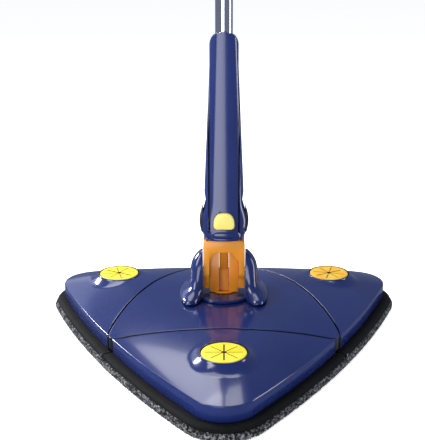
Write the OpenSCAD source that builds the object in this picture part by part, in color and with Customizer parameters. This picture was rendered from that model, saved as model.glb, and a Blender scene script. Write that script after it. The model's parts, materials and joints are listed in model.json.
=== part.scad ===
// Triangular swivel mop with three folding flaps that wring its pad.
// The origin is on the floor under the handle. +Z is up, -Y is the front corner, +X is to the right.

/* [Head outline] */
// Distance from the handle's axis to the centre of each corner's rounding
head_reach = 151; // [130:1:180]
// Corner radius of the pad
pad_corner_r = 39; // [28:1:55]
// How far each side bows out between its corners
side_bulge = 10; // [4:1:16]
// Width of pad that shows round the shell
pad_border = 9.5; // [5:0.5:14]
// Thickness of the pad
pad_h = 10.5; // [8:0.5:10.5]

/* [Shell] */
// Height of the shell's lower edge above the floor
shell_z = 12; // [11:0.5:14]
// Height of the shell's upright rim
rim_h = 14; // [12:1:20]
// Rise of the dome above the rim
dome_h = 17; // [15:1:22]
// Fullness of the dome, 2 is a round bowl and 4 a flat-topped cushion
dome_power = 3.3; // [2.6:0.1:4]
// Wall thickness of the shells
shell_t = 2.4; // [1.8:0.2:3]

/* [Flaps and hinges] */
// Distance from the handle's axis to the ends of each seam
seam_end = 62.5; // [58:0.5:66]
// How far each seam bows towards its corner
seam_bow = 12.5; // [8:0.5:18]
// Width of the seam between a flap and the plate
seam_gap = 1.2; // [0.8:0.2:2]
// Distance from the handle's axis to each hinge axis
hinge_reach = 60; // [56:1:64]
// Height of the hinge axes
hinge_z = 15.5; // [15:0.5:18]
// Hinge pin radius
hinge_pin_r = 1.5; // [1:0.25:2]
// Outer radius of a knuckle
knuckle_r = 3.8; // [3:0.2:4.4]
// Width of a knuckle
knuckle_w = 18; // [12:1:24]
// Distance from a flap's middle to each knuckle's middle
knuckle_at = 45; // [38:1:52]
// Fold of the flaps when they wring, in degrees
fold_max = 72; // [50:1:76]
// Length of the lever that folds a flap
lever_l = 18; // [14:1:20]

/* [Cloth clips] */
// Distance from the handle's axis to each clip's centre
clip_reach = 119.5; // [110:0.5:126]
// Radius of a clip
clip_r = 19; // [14:0.5:22]
// Height of the clips' top faces
clip_z = 41.5; // [40:0.5:46]
// Thickness of a clip
clip_t = 1.8; // [1.2:0.2:3]

/* [Turret] */
// Radius of the turret's spigot
spigot_r = 19.7; // [16:0.1:22]
// Height of the tilt axis
tilt_z = 68; // [64:1:76]
// Radius of the tilt pins
tilt_pin_r = 3; // [2:0.25:4]
// Outer width of the yoke
yoke_w = 37.6; // [34:0.4:40]
// Inner width of the yoke
yoke_inner_w = 26.6; // [24:0.4:28]
// Depth of the yoke from front to back
yoke_d = 18; // [14:1:20]
// Radius of the yoke's ends round the tilt pins
yoke_end_r = 17; // [12:1:18]
// Length of the turret's feet from front to back
foot_l = 59; // [50:1:66]
// Distance from the handle's axis to the outside of the feet
foot_reach = 44; // [40:1:50]
// Height of the fins' tips
fin_top_z = 87; // [84:1:90]

/* [Sleeve] */
// Height of the sleeve's lower end
sleeve_z = 95; // [94:1:100]
// Length of the rear cover
sleeve_l = 180; // [170:1:220]
// Half width of the sleeve at its lower end
sleeve_half_w = 18.4; // [17:0.2:19]
// Half width at the swell beside the button
swell_half_w = 21.9; // [20:0.1:24]
// Half width at the top
sleeve_top_half_w = 11.6; // [11:0.1:14]
// Half depth of the sleeve at its lower end
sleeve_half_d = 18; // [16:0.5:20]
// Half depth at the top
sleeve_top_half_d = 12; // [11:0.5:14]
// Wall thickness of the covers
cover_t = 2.2; // [1.6:0.2:2.6]
// How far the front cover stands proud
cover_raise = 1.4; // [0.8:0.2:2]
// Half width of the front cover
front_half_w = 13.4; // [11:0.2:15]
// Length of the side slots
slot_l = 49; // [40:1:60]
// Width of the button
button_w = 18; // [14:1:20]
// Height of the button
button_h = 16; // [12:1:18]
// Height of the button's centre
button_z = 119.6; // [114:0.2:126]
// Travel of the button
button_travel = 1.2; // [0.8:0.1:1.2]

/* [Pole] */
// Outer radius of the steel tubes
tube_r = 7.5; // [7:0.1:8]
// Wall of the steel tubes
tube_t = 0.8; // [0.6:0.1:1.2]
// Height of the bottom of the upper pole's coupling
coupling_z = 330; // [320:1:360]
// Length of the coupling
coupling_l = 62; // [50:1:80]
// Radius of the coupling
coupling_r = 10.8; // [10:0.1:13]
// Chrome length between the coupling and the grip
upper_tube_l = 217; // [150:1:400]
// Length of the grip
grip_l = 108; // [90:1:140]
// Radius of the grip at its widest
grip_r = 13; // [12:0.5:16]
// Radius of the grip at its lower end
grip_neck_r = 10.2; // [9.6:0.1:12]
// Radius of the hang hole
hang_hole_r = 4; // [3:0.5:5]

/* [Hidden] */
$fn = 48;
eps = 0.01;

navy = "#2b3470";
yellow = "#f6e94f";
orange = "#ee9f2c";
steel = "#c9ccd2";
black = "#1b1c20";
plush = "#8f96a5";

// clearances
run_fit = 0.05;      // a pin in its own bore
snug_fit = 0.02;     // a pin held fast
slip = 0.4;          // pieces that slide or turn past each other
small_gap = 0.2;     // pieces of one body that face each other

// derived heights
rim_z = shell_z + rim_h;
crown_z = rim_z + dome_h;
fold_sin = sin(fold_max);
fold_cos = cos(fold_max);

// ---------- outline and dome ----------

// side arc of the head: its centre line passes through two corner centres and bows by side_bulge
side_chord = head_reach * sqrt(3);
side_r = (side_chord * side_chord / 4 + side_bulge * side_bulge) / (2 * side_bulge);
side_back = side_r - side_bulge - head_reach / 2;
side_half_angle = asin(side_chord / 2 / side_r);

function dir(a) = [cos(a), sin(a)];
function shell_corner_r() = pad_corner_r - pad_border;

// the front third of an outline, from the left side's middle round the front corner to the right side's middle
function third_outline(r, n_side = 4, n_corner = 8) = concat(
  [for (i = [0 : n_side])
    -side_back * dir(210) + (side_r + r) * dir(210 + side_half_angle * i / n_side)],
  [for (i = [1 : n_corner - 1])
    [0, -head_reach] + r * dir(210 + side_half_angle + (120 - 2 * side_half_angle) * i / n_corner)],
  [for (i = [n_side : -1 : 0])
    -side_back * dir(330) + (side_r + r) * dir(330 - side_half_angle * i / n_side)]
);
function rotated(points, a) = [for (p = points) [p.x * cos(a) - p.y * sin(a), p.x * sin(a) + p.y * cos(a)]];
function full_outline(r) = concat(third_outline(r), rotated(third_outline(r), 120), rotated(third_outline(r), 240));

// distance from the axis to the shell's outline, at an angle away from the nearest corner
function ray_to_circle(d, c, r) = d * c + sqrt((d * c) * (d * c) - c * c + r * r);
join_point = [0, -head_reach] + shell_corner_r() * dir(330 - side_half_angle);
join_angle = atan2(join_point.x, -join_point.y);
function outline_reach(a) = a < join_angle
  ? ray_to_circle([sin(a), -cos(a)], [0, -head_reach], shell_corner_r())
  : ray_to_circle([sin(a), -cos(a)], -side_back * dir(330), side_r + shell_corner_r());
function corner_angle(x, y) = let (a = (atan2(y, x) + 90 + 720) % 120) a > 60 ? 120 - a : a;
function dome_z(x, y) =
  rim_z + dome_h * (1 - pow(min(1, norm([x, y]) / outline_reach(corner_angle(x, y))), dome_power));

// ---------- seams ----------

side_mid = outline_reach(60);
seam_half = (side_mid - seam_end / 2) / cos(30);
function seam_reach(x) = seam_end + seam_bow * (1 - pow(x / seam_half, 2));

// places a flap's pieces: side 0 is the front, 1 the right, 2 the left
module at_side(side) {
  rotate([0, 0, 120 * side]) children();
}

// stands a profile drawn in (reach, height) upright, and extrudes it along the hinge from x0 to x1
module along_hinge(x0, x1) {
  translate([x1, 0, 0]) rotate([0, 0, -90]) rotate([90, 0, 0]) linear_extrude(x1 - x0) children();
}

// joins closed rings of points into one solid
module skin(rings, closed = false) {
  n = len(rings[0]);
  m = len(rings);
  points = [for (ring = rings) each ring];
  last = closed ? m : m - 1;
  sides = [for (i = [0 : last - 1]) for (j = [0 : n - 1])
    let (a = i * n + j, b = i * n + (j + 1) % n, c = ((i + 1) % m) * n + (j + 1) % n, d = ((i + 1) % m) * n + j)
    each [[a, c, b], [a, d, c]]];
  caps = closed ? [] : [[for (j = [0 : n - 1]) j], [for (j = [n - 1 : -1 : 0]) (m - 1) * n + j]];
  polyhedron(points = points, faces = concat(sides, caps));
}

// ---------- centre plate ----------

tip_half_w = 3;
skirt_z = hinge_z + knuckle_r + 3;
plate_hole = 15;
plate_seam_steps = 10;

// the plate's edge in the front third: the seam with a narrow tip at each end
function plate_edge() = concat(
  [side_mid * dir(210) + tip_half_w * dir(300)],
  [for (i = [0 : plate_seam_steps])
    let (x = -(seam_half - 5) + 2 * (seam_half - 5) * i / plate_seam_steps) [x, -seam_reach(x) + seam_gap / 2]],
  [side_mid * dir(330) + tip_half_w * dir(240)]
);
function plate_ring(p) =
  let (reach = norm(p), u = p / reach, tip = reach > side_mid - 2, low = tip ? shell_z : skirt_z,
    wall = tip ? 3 : shell_t, q = p - u * wall, mid = u * (plate_hole + reach) / 2, hole = u * plate_hole)
  [
    [hole.x, hole.y, crown_z - shell_t],
    [hole.x, hole.y, dome_z(hole.x, hole.y)],
    [mid.x, mid.y, dome_z(mid.x, mid.y)],
    [p.x, p.y, dome_z(p.x, p.y)],
    [p.x, p.y, low],
    [q.x, q.y, low],
    [q.x, q.y, dome_z(q.x, q.y) - shell_t],
    [mid.x, mid.y, dome_z(mid.x, mid.y) - shell_t]
  ];

lug_w = 4.5;
lug_offset = knuckle_w / 2 + 0.5;

// height of the plate's top face above a point on the hinge line
function edge_scale(x) =
  let (k = seam_reach(1.2 * x) / hinge_reach) (seam_reach(k * x) - seam_gap / 2) / hinge_reach;
function plate_top(x) =
  let (k = edge_scale(x), m = (plate_hole / norm([x, hinge_reach]) + k) / 2,
    mid_z = dome_z(m * x, -m * hinge_reach), edge_z = dome_z(k * x, -k * hinge_reach))
  mid_z + (edge_z - mid_z) * (1 - m) / (k - m);

module hinge_lug(x0) {
  top = plate_top(x0 + lug_w / 2) - shell_t / 2;
  along_hinge(x0, x0 + lug_w) difference() {
    union() {
      translate([hinge_reach, hinge_z]) circle(knuckle_r);
      translate([hinge_reach - knuckle_r, hinge_z]) square([2 * knuckle_r, top - hinge_z]);
    }
    translate([hinge_reach, hinge_z]) circle(hinge_pin_r + snug_fit);
  }
}
hub_r = 30;
hub_h = 7;
pad_edge_gap = knuckle_r + 1.2;
centre_pad_tip = 2 * (hinge_reach - pad_edge_gap);
tip_floor_reach = centre_pad_tip - 13;
tip_floor_w = 16;
tip_rib_w = 2;
tip_relief_l = 7;
tip_relief_h = 2.4;

module centre_plate() {
  edge = concat(plate_edge(), rotated(plate_edge(), 120), rotated(plate_edge(), 240));
  color(navy) difference() {
    union() {
      skin([for (p = edge) plate_ring(p)], true);
      translate([0, 0, crown_z - hub_h]) cylinder(r = hub_r, h = hub_h - 1);
      for (side = [0 : 2]) at_side(side) {
        for (s = [-1, 1]) {
          hinge_lug(s * knuckle_at - lug_offset - lug_w);
          hinge_lug(s * knuckle_at + lug_offset);
        }
        rotate([0, 0, -60]) translate([-tip_floor_w / 2, -side_mid + 1, shell_z])
          cube([tip_floor_w, side_mid - tip_floor_reach, 2]);
        rotate([0, 0, -60]) translate([-tip_rib_w / 2, -side_mid + 1, shell_z])
          cube([tip_rib_w, side_mid - tip_floor_reach - 1, rim_h - 1]);
      }
    }
    translate([0, 0, crown_z - 2 * hub_h]) cylinder(r = spigot_r + run_fit, h = 3 * hub_h);
    for (side = [0 : 2]) at_side(side) rotate([0, 0, -60]) {
      for (s = [-1, 1]) translate([s * 8.2 - 4, -side_mid - 5, 0])
        cube([8, side_mid - tip_floor_reach + 6, shell_z + 5]);
      // room for the ends of the folding flaps
      translate([-5, -side_mid - 5, 0]) cube([10, 5 + tip_relief_l, shell_z + tip_relief_h]);
    }
  }
}

module centre_hooks() {
  color(black) for (side = [0 : 2]) at_side(side) rotate([0, 0, -60])
    translate([-4, -tip_floor_reach - 10, pad_h]) cube([8, 10, shell_z - pad_h]);
}

// ---------- pads ----------

pad_fold_gap = 14.5;

module centre_pad() {
  color(plush) linear_extrude(pad_h) intersection() {
    polygon(full_outline(pad_corner_r));
    rotate(-30) circle(r = centre_pad_tip, $fn = 3);
  }
}

// the flap's part of the pad, cut back at the hinge so that the folded pads meet without overlap
module flap_pad() {
  inner = hinge_reach + pad_fold_gap;
  low = hinge_z * fold_sin;
  function half_at(s) = tan(60) * (hinge_reach + (s - hinge_reach) * fold_cos - low) - 2;
  outer = head_reach + pad_corner_r + 5;
  color(plush) linear_extrude(pad_h) intersection() {
    polygon(third_outline(pad_corner_r));
    polygon([[-half_at(inner), -inner], [half_at(inner), -inner], [half_at(outer), -outer], [-half_at(outer), -outer]]);
  }
}

// ---------- flaps ----------

flap_steps = 16;
flap_end_x = seam_half - 5.5;

// points along the flap's seam and along its outer edge
function flap_seam_point(i) =
  let (x = -flap_end_x + 2 * flap_end_x * i / flap_steps) [x, -seam_reach(x) - seam_gap / 2];
outer_path = third_outline(shell_corner_r());
side_len = (side_r + shell_corner_r()) * side_half_angle * PI / 180;
outer_skip = (tip_half_w + seam_gap + 1) * 4 / side_len / (len(outer_path) - 1);
function path_at(path, t) =
  let (k = t * (len(path) - 1), i = min(floor(k), len(path) - 2)) path[i] + (path[i + 1] - path[i]) * (k - i);
function flap_rim_point(i) = path_at(outer_path, outer_skip + (1 - 2 * outer_skip) * i / flap_steps);
function on_dome(p, drop = 0) = [p.x, p.y, dome_z(p.x, p.y) - drop];
function flap_ring(i) =
  let (s = flap_seam_point(i), o = flap_rim_point(i), u = (o - s) / norm(o - s), si = s + u * shell_t,
    oi = o - u * shell_t, a = s + (o - s) / 3, b = s + (o - s) * 2 / 3)
  [
    [s.x, s.y, shell_z + 0.5], on_dome(s), on_dome(a), on_dome(b), [o.x, o.y, rim_z], [o.x, o.y, shell_z],
    [oi.x, oi.y, shell_z], on_dome(oi, shell_t), on_dome(b, shell_t), on_dome(a, shell_t), on_dome(si, shell_t),
    [si.x, si.y, shell_z + 0.5]
  ];

boss_top_r = clip_r + 1.2;
boss_foot_r = clip_r + 7;
boss_foot_z = clip_z - 8;
pocket_r = clip_r - 3;
base_t = 2;
web_h = 5;
lever_w = 8;
lever_t = 4;
lever_pin_r = 1.6;
lever_rise = 5;

module flap() {
  color(navy) difference() {
    union() {
      skin([for (i = [0 : flap_steps]) flap_ring(i)]);
      translate([0, -clip_reach, boss_foot_z]) cylinder(r1 = boss_foot_r, r2 = boss_top_r, h = clip_z - boss_foot_z);
      translate([0, -clip_reach, shell_z + base_t]) cylinder(r = clip_r, h = boss_foot_z - shell_z - base_t + 2);
      for (s = [-1, 1]) along_hinge(s * knuckle_at - knuckle_w / 2, s * knuckle_at + knuckle_w / 2) {
        translate([hinge_reach, hinge_z]) circle(knuckle_r);
        translate([hinge_reach, hinge_z - web_h / 2])
          square([seam_reach(knuckle_at) + seam_gap - hinge_reach + 1.5, web_h]);
      }
      along_hinge(-lever_w / 2, lever_w / 2) {
        translate([hinge_reach, hinge_z - lever_t / 2])
          square([seam_reach(0) + seam_gap - hinge_reach + 1, lever_t]);
        translate([hinge_reach, hinge_z]) rotate(180 - lever_rise)
          translate([-lever_t / 2, -lever_t / 2]) square([lever_l + lever_t / 2 + 1, lever_t]);
      }
      along_hinge(-arm_half_w, arm_half_w)
        translate([hinge_reach - lever_l * cos(lever_rise), hinge_z + lever_l * sin(lever_rise)]) circle(lever_pin_r);
    }
    for (s = [-1, 1]) along_hinge(s * knuckle_at - knuckle_w, s * knuckle_at + knuckle_w)
      translate([hinge_reach, hinge_z]) circle(hinge_pin_r + run_fit);
    translate([0, -clip_reach, clip_z - clip_t - 2.5]) cylinder(r = clip_r + 0.3, h = clip_t + 4);
    translate([0, -clip_reach, shell_z]) cylinder(r = pocket_r, h = clip_z);
  }
}

module flap_base() {
  inner = seam_reach(0) + 4;
  color(black) translate([0, 0, shell_z]) linear_extrude(base_t) difference() {
    intersection() {
      polygon(third_outline(shell_corner_r() - shell_t * 2));
      translate([-200, -200 - inner]) square([400, 200]);
    }
    for (s = [-1, 1]) translate([s * knuckle_at - knuckle_w / 2 - 1, -inner - 4]) square([knuckle_w + 2, 8]);
  }
}

module flap_hooks() {
  color(black) translate([0, 0, pad_h]) linear_extrude(shell_z - pad_h) {
    for (s = [-1, 1]) translate([s * 42, -seam_reach(0) - 17]) square([30, 14], center = true);
    translate([0, -head_reach - 2]) square([30, 18], center = true);
  }
}

module hinge_pins() {
  color(steel) for (s = [-1, 1])
    along_hinge(s * knuckle_at - lug_offset - lug_w, s * knuckle_at + lug_offset + lug_w)
      translate([hinge_reach, hinge_z]) circle(hinge_pin_r);
}

// yellow disc with eight slits that a cloth's corner is pushed through
module clip(tint) {
  color(tint) translate([0, -clip_reach, clip_z - clip_t]) difference() {
    cylinder(r = clip_r, h = clip_t);
    translate([0, 0, -1]) cylinder(r = 1.6, h = clip_t + 2);
    for (a = [0 : 45 : 315]) rotate([0, 0, a]) translate([1, -0.3, -1]) cube([clip_r * 0.82, 0.6, clip_t + 2]);
  }
}

module clip_ring() {
  color(black) translate([0, -clip_reach, clip_z - clip_t - 2.4]) difference() {
    cylinder(r = clip_r, h = 2.3);
    translate([0, 0, -1]) cylinder(r = pocket_r, h = 5);
  }
}

// ---------- lift mechanism ----------

lift = lever_l * (sin(fold_max + lever_rise) - sin(lever_rise));
arm_half_w = 8;
arm_top_z = hinge_z + lever_l * sin(lever_rise) - lever_pin_r - slip;
arm_bottom_z = pad_h + 0.8;
arm_reach = hinge_reach - 1;
strap_w = 8.6;
strap_t = 1.2;
spider_hub_r = spigot_r - 7.7;
screw_reach = (spider_hub_r + 1.5 + spigot_r) / 2;
spider_top_z = arm_top_z + 6;
swivel_r = 7;
swivel_h = 2.5;

module lift_spider() {
  color(black) difference() {
    union() {
      translate([0, 0, arm_bottom_z]) cylinder(r = spider_hub_r, h = spider_top_z - arm_bottom_z);
      for (side = [0 : 2]) at_side(side) for (x = [-arm_half_w, arm_half_w - 3])
        translate([x, -arm_reach, arm_bottom_z]) cube([3, arm_reach - 8, arm_top_z - arm_bottom_z]);
    }
    translate([0, 0, arm_bottom_z - 1]) cylinder(r = swivel_r + slip, h = swivel_h + 2 + slip);
    translate([0, 0, arm_bottom_z]) cylinder(r = strap_w / 2 + 0.8, h = 20);
  }
}

// round head at the strap's lower end, which turns in the spider's hub
module strap_swivel() {
  color(steel) translate([0, 0, arm_bottom_z + slip]) difference() {
    cylinder(r = swivel_r, h = swivel_h);
    translate([-strap_w / 2, -strap_t / 2, -1]) cube([strap_w, strap_t, 5]);
  }
}

module lower_strap() {
  color(orange) translate([-strap_w / 2 + 0.1, -strap_t / 2 + 0.05, arm_bottom_z + slip])
    cube([strap_w - 0.2, strap_t - 0.1, tilt_z - 2 - arm_bottom_z - slip]);
}

// ---------- turret ----------

floor_z = crown_z + slip;
floor_t = 3;
floor_top_z = floor_z + floor_t;
foot_h = 6;
fin_inner = yoke_w / 2 + 0.6;
grommet_w = 20;
grommet_d = 14;

module oval(w, d) {
  translate([-(w - d) / 2, -d / 2]) square([w - d, d]);
  for (s = [-1, 1]) translate([s * (w - d) / 2, 0]) circle(d = d);
}

module turret_foot() {
  inner = fin_inner + 3.4;
  linear_extrude(foot_h) polygon([
    [fin_inner, -foot_l / 2 + 11], [inner, -foot_l / 2 + 11], [(inner + foot_reach) / 2, -foot_l / 2],
    [foot_reach, -foot_l / 2 + 11], [foot_reach, foot_l / 2 - 11], [(inner + foot_reach) / 2, foot_l / 2],
    [inner, foot_l / 2 - 11], [fin_inner, foot_l / 2 - 11]
  ]);
}

// a fin's outside shape: widths and depths that shrink towards its tip
function fin_ring(t) =
  let (z = floor_z + foot_h - 1 + (fin_top_z - floor_z - foot_h + 1) * t, out = fin_inner + 2 + 13.5 * pow(1 - t, 0.6),
    d = 3 + 15 * pow(1 - t, 0.55))
  [
    [fin_inner, -d, z], [(fin_inner + out) / 2, -d, z], [out, -d * 0.55, z], [out, d * 0.55, z],
    [(fin_inner + out) / 2, d, z], [fin_inner, d, z]
  ];

module turret() {
  color(navy) difference() {
    union() {
      translate([0, 0, floor_z]) cylinder(r = fin_inner + 6, h = floor_t);
      translate([0, 0, crown_z - hub_h - slip]) cylinder(r = spigot_r, h = hub_h + floor_t);
      for (s = [0, 1]) mirror([s, 0, 0]) {
        translate([0, 0, floor_z]) turret_foot();
        skin([for (i = [0 : 6]) fin_ring(i / 6)]);
      }
    }
    translate([0, 0, crown_z - 2 * hub_h]) cylinder(r = spider_hub_r + 1.5, h = 2 * hub_h - 1);
    translate([0, 0, crown_z - 2]) linear_extrude(20) oval(grommet_w - 4, grommet_d - 4);
    for (s = [-1, 1]) translate([s * (fin_inner + 3), 0, tilt_z]) rotate([0, 90, 0])
      cylinder(r = tilt_pin_r + snug_fit, h = 12, center = true);
    for (a = [30, 150, 270]) rotate([0, 0, a])
      translate([screw_reach, 0, crown_z - hub_h - 2]) cylinder(r = 1.25, h = 7);
  }
}

retainer_t = 2.5;
retainer_z = crown_z - hub_h - slip - retainer_t;

module turret_retainer() {
  color(black) difference() {
    translate([0, 0, retainer_z]) cylinder(r = spigot_r + 5, h = retainer_t);
    translate([0, 0, retainer_z - 1]) cylinder(r = spider_hub_r + 1.5, h = retainer_t + 2);
    for (a = [30, 150, 270]) rotate([0, 0, a]) translate([screw_reach, 0, retainer_z - 1]) cylinder(r = 1.5, h = 6);
  }
}

module retainer_screws() {
  color(steel) for (a = [30, 150, 270]) rotate([0, 0, a]) translate([screw_reach, 0, retainer_z - 1.2]) {
    cylinder(r = 2.4, h = 1.2);
    cylinder(r = 1.2, h = 8);
  }
}

module oval_grommet() {
  color(orange) difference() {
    union() {
      translate([0, 0, floor_top_z]) linear_extrude(1) oval(grommet_w, grommet_d);
      translate([0, 0, crown_z - 1]) linear_extrude(floor_top_z - crown_z + 1 + eps)
        oval(grommet_w - 4 - small_gap, grommet_d - 4 - small_gap);
    }
    translate([0, 0, crown_z - 5]) linear_extrude(20) oval(strap_w + 2.4, strap_t + 3.6);
  }
}

// orange block between the yoke's arms, with a channel for the strap and a bore for each tilt pin
module strap_guide() {
  guide_half = yoke_inner_w / 2 - 0.6;
  channel_half = strap_w / 2 + 0.8;
  guide_r = 12.5;
  color(orange) for (s = [-1, 1]) translate([s * (guide_half + channel_half) / 2, 0, tilt_z]) rotate([0, 90, 0])
    difference() {
      union() {
        cylinder(r = guide_r * 0.72, h = guide_half - channel_half, center = true);
        translate([(tilt_z - floor_top_z) / 2, 0, 0])
          cube([tilt_z - floor_top_z, guide_r, guide_half - channel_half], center = true);
      }
      cylinder(r = tilt_pin_r + snug_fit, h = 30, center = true);
      translate([tilt_z - floor_top_z, 0, -s * (guide_half + channel_half) / 2]) rotate([0, -90, 0])
        linear_extrude(2.4, center = true) oval(grommet_w + 0.6, grommet_d + 0.6);
    }
}

module tilt_pins() {
  color(steel) for (s = [-1, 1]) translate([s * (strap_w / 2 + 1.4 + fin_inner + 8) / 2, 0, tilt_z]) rotate([0, 90, 0])
    cylinder(r = tilt_pin_r, h = fin_inner + 8 - strap_w / 2 - 1.4, center = true);
}

// ---------- yoke and stem ----------

arch_top_z = 87;
crown_top_z = sleeve_z + 3;
stem_half_w = 9;
stem_half_d = 8.5;
roller_z = 136;
roller_r = 4.5;
roller_y = -5.4;
socket_z = 150;
stem_top_z = 178;

module yoke() {
  arm_t = (yoke_w - yoke_inner_w) / 2;
  color(orange) difference() {
    union() {
      // arms with round ends
      for (s = [-1, 1]) translate([s * (yoke_w - arm_t) / 2, 0, 0]) {
        translate([0, 0, tilt_z]) rotate([0, 90, 0]) cylinder(r = yoke_d / 2, h = arm_t, center = true);
        translate([-arm_t / 2, -yoke_d / 2, tilt_z]) cube([arm_t, yoke_d, crown_top_z - tilt_z - 4]);
        translate([-arm_t / 2, -yoke_d / 4, tilt_z - yoke_end_r]) cube([arm_t, yoke_d / 2, yoke_end_r]);
      }
      // crown with rounded shoulders
      rotate([90, 0, 0]) linear_extrude(yoke_d, center = true) difference() {
        union() {
          translate([-yoke_w / 2 + 5, 82]) square([yoke_w - 10, crown_top_z - 82]);
          translate([-yoke_w / 2, 82]) square([yoke_w, crown_top_z - 87]);
          for (s = [-1, 1]) translate([s * (yoke_w / 2 - 5), crown_top_z - 5]) circle(5);
        }
        translate([-yoke_inner_w / 2, 70]) square([yoke_inner_w, arch_top_z - 70 - 8]);
        translate([-yoke_inner_w / 2 + 8, 70]) square([yoke_inner_w - 16, arch_top_z - 70]);
        for (s = [-1, 1]) translate([s * (yoke_inner_w / 2 - 8), arch_top_z - 8]) circle(8);
      }
      translate([-stem_half_w, -stem_half_d, crown_top_z - 2])
        cube([2 * stem_half_w, 2 * stem_half_d, stem_top_z - crown_top_z + 2]);
    }
    for (s = [-1, 1]) translate([s * yoke_w / 2, 0, tilt_z]) rotate([0, 90, 0])
      cylinder(r = tilt_pin_r + run_fit, h = 20, center = true);
    // strap channel and roller window
    translate([-strap_w / 2 - 0.7, -strap_t / 2 - 0.6, arch_top_z - 5])
      cube([strap_w + 1.4, strap_t + 1.2, socket_z - arch_top_z]);
    translate([-strap_w / 2 - 1, -stem_half_d - 1, roller_z - 8]) cube([strap_w + 2, stem_half_d + 3, 15]);
    translate([0, roller_y, roller_z]) rotate([0, 90, 0]) cylinder(r = 1.5 + snug_fit, h = 40, center = true);
    // tube socket
    translate([0, 0, socket_z]) cylinder(r = tube_r + snug_fit, h = 60);
    translate([0, 0, socket_z + 16]) rotate([0, 90, 0]) cylinder(r = 1.5 + snug_fit, h = 40, center = true);
  }
}

module strap_roller() {
  color(steel) translate([0, roller_y, roller_z]) rotate([0, 90, 0]) difference() {
    cylinder(r = roller_r, h = strap_w + 1.2, center = true);
    cylinder(r = 1.5 + run_fit, h = 20, center = true);
  }
}

module roller_pin() {
  color(steel) translate([0, roller_y, roller_z]) rotate([0, 90, 0])
    cylinder(r = 1.5, h = 2 * stem_half_w - 0.4, center = true);
}

module cross_pin() {
  color(steel) translate([0, 0, socket_z + 16]) rotate([0, 90, 0])
    cylinder(r = 1.5, h = 2 * stem_half_w - 0.4, center = true);
}

module upper_strap() {
  color(orange) translate([-strap_w / 2, -strap_t / 2, tilt_z + 4])
    cube([strap_w, strap_t, roller_z - lift - tilt_z - 4]);
}

// ---------- sleeve ----------

sleeve_top_z = sleeve_z + sleeve_l;
front_z = sleeve_z + 6;
front_top_z = sleeve_top_z + 8;
cover_split = sleeve_top_half_d / 3;
swell_z = sleeve_z + 22;
swell_reach = 19;

function taper(z, low, high) = low + (high - low) * (z - sleeve_z) / sleeve_l;
swell_rise = swell_half_w - taper(swell_z, sleeve_half_w + 1.4, sleeve_top_half_w);
function swell(z) = abs(z - swell_z) < swell_reach ? 0.5 + 0.5 * cos(180 * (z - swell_z) / swell_reach) : 0;
function sleeve_w(z) = z < sleeve_z + 9.5
  ? sleeve_half_w + 0.05 * max(0, z - sleeve_z)
  : taper(z, sleeve_half_w + 1.4, sleeve_top_half_w) + swell_rise * swell(z);
function sleeve_d(z) = taper(z, sleeve_half_d, sleeve_top_half_d);
sleeve_sides = 28;
function rounded(w, d, z, n = sleeve_sides) = [for (i = [0 : n - 1])
  let (a = 360 * (i + 0.5) / n, c = cos(a), s = sin(a), k = pow(pow(abs(c), 2.8) + pow(abs(s), 2.8), -1 / 2.8))
  [w * k * c, d * k * s, z]];
sleeve_levels = [0, 4.5, 9, 10, 13, 17, 22, 27, 32, 37, 42, 60, 100, 140];

// the sleeve's shape grown or shrunk by an offset, from one height to another
module sleeve_body(grow, z0, z1) {
  levels = [z0, for (l = sleeve_levels) if (sleeve_z + l > z0 + 0.5 && sleeve_z + l < z1 - 0.5) sleeve_z + l, z1];
  skin([for (z = levels) rounded(sleeve_w(z) + grow, sleeve_d(z) + grow, z)]);
}

module side_slots() {
  for (s = [-1, 1]) translate([s * 20, 0, 0]) {
    translate([-10, -11, sleeve_z - 5]) cube([20, 22, slot_l + 5 - 11]);
    translate([0, 0, sleeve_z + slot_l - 11]) rotate([0, 90, 0]) cylinder(r = 11, h = 20, center = true);
  }
}

module rear_cover() {
  color(navy) difference() {
    sleeve_body(0, sleeve_z, sleeve_top_z);
    sleeve_body(-cover_t, sleeve_z - 1, sleeve_top_z + 8);
    translate([-front_half_w, -40, sleeve_z - 5]) cube([2 * front_half_w, 40 - cover_split, sleeve_l + 20]);
    side_slots();
  }
}

module button_shape(grow = 0) {
  w = button_w / 2 + grow;
  h = button_h / 2 + grow;
  polygon(concat(
    [[-w + 3, -h], [w - 3, -h], [w, -h + 3.5]],
    [for (a = [0 : 15 : 180]) [w * cos(a), -h + 3.5 + (2 * h - 3.5) * pow(sin(a), 0.8)]],
    [[-w, -h + 3.5]]
  ));
}

module front_cover() {
  color(navy) difference() {
    intersection() {
      sleeve_body(cover_raise, front_z, front_top_z);
      translate([-front_half_w + small_gap, -40, front_z - 5])
        cube([2 * (front_half_w - small_gap), 40 - cover_split - small_gap, 300]);
    }
    sleeve_body(-cover_t, sleeve_z - 1, front_top_z);
    translate([0, -sleeve_half_d, button_z]) rotate([90, 0, 0])
      linear_extrude(20, center = true) button_shape(slip);
  }
}

bush_h = 9;
module top_bush() {
  z = sleeve_top_z - bush_h - 3;
  color(black) translate([0, 0, z]) difference() {
    cylinder(r = min(sleeve_w(sleeve_top_z), sleeve_d(sleeve_top_z)) - cover_t - small_gap, h = bush_h);
    translate([0, 0, -1]) cylinder(r = tube_r + run_fit, h = bush_h + 2);
  }
}

anchor_y = -stem_half_d - 1.7 - strap_t;
anchor_z = front_z + 2;
anchor_h = 6.5;

// plate behind the front cover that the strap's end is screwed to
module strap_anchor() {
  color(orange) difference() {
    translate([-front_half_w + 4.6, anchor_y - 3, anchor_z]) cube([2 * front_half_w - 9.2, 2.8, anchor_h]);
    translate([0, anchor_y, anchor_z + anchor_h / 2]) rotate([90, 0, 0]) cylinder(r = 1.2, h = 20, center = true);
  }
}

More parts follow.
